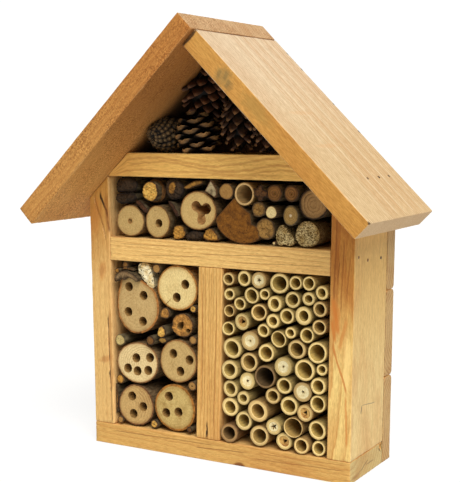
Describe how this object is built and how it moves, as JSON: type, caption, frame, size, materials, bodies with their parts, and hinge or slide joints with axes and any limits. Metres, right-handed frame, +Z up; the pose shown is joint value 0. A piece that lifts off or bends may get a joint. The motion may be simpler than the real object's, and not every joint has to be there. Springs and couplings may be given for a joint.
{
  "type": "insect hotel",
  "caption": "Small nailed softwood insect hotel with a pitched roof, shelves and a divider, filled with drilled logs, bamboo canes, sticks, bark and pine cones.",
  "frame": {"origin": "underside of the base board, in the middle of the body's width and depth (body only, without the roof overhang)", "axes": "+X to the right seen from the front, +Y from the open front to the back boards, +Z up"},
  "size_m": [0.3087, 0.135, 0.3575],
  "materials": {
    "frame_pine": "planed softwood, uncoated, straight brown grain",
    "roof_pine": "planed softwood, uncoated, pale with fine straight grain",
    "back_pine": "planed softwood cladding, uncoated",
    "nail_steel": "dull plain steel",
    "log_wood": "sawn end grain with growth rings and a thin bark edge",
    "twig_bark": "rough bark with pale cut ends",
    "bark": "flaky red-brown bark",
    "rotten_wood": "dark crumbly decayed wood",
    "lichen_wood": "weathered wood with pale lichen",
    "split_wood": "split fibrous wood",
    "bamboo": "dry cane, pale cut ends and smooth tan rind",
    "cone_scale": "dry woody scales with tan edges"
  },
  "bodies": {
    "root": {"base_board": "frame_pine", "left_side_board": "frame_pine", "right_side_board": "frame_pine", "lower_shelf": "frame_pine", "upper_shelf": "frame_pine", "divider_board": "frame_pine", "left_roof_board": "roof_pine", "right_roof_board": "roof_pine", "back_board_bottom": "back_pine", "back_board_lower": "back_pine", "back_board_middle": "back_pine", "back_board_gable": "back_pine", "back_board_peak": "back_pine", "roof_nails": "nail_steel", "ridge_nails": "nail_steel", "base_nails": "nail_steel", "shelf_nails": "nail_steel", "divider_nails": "nail_steel", "back_nails": "nail_steel", "four_hole_log": "log_wood", "two_hole_log": "log_wood", "five_hole_log": "log_wood", "upper_three_hole_log": "log_wood", "left_three_hole_log": "log_wood", "right_three_hole_log": "log_wood", "left_pith_log": "log_wood", "right_pith_log": "log_wood", "trefoil_log": "log_wood", "lower_bay_twigs": "twig_bark", "yellow_end_branch": "twig_bark", "dark_branch": "twig_bark", "round_sticks": "twig_bark", "oval_stick": "twig_bark", "corner_log": "twig_bark", "split_branch": "twig_bark", "bark_chunks": "bark", "bark_strips": "bark", "cross_piece": "bark", "rotten_lumps": "rotten_wood", "lichen_lump": "lichen_wood", "lichen_blocks": "lichen_wood", "split_wedge": "split_wood", "wood_splinters": "split_wood", "yellow_stick_stub": "split_wood", "wide_canes": "bamboo", "medium_canes": "bamboo", "narrow_canes": "bamboo", "pith_canes": "bamboo", "plugged_canes": "bamboo", "hollow_stem": "bamboo", "closed_cone": "cone_scale", "lying_cone": "cone_scale", "upper_cone": "cone_scale", "right_cone": "cone_scale", "corner_cone": "cone_scale"}
  },
  "joints": []
}
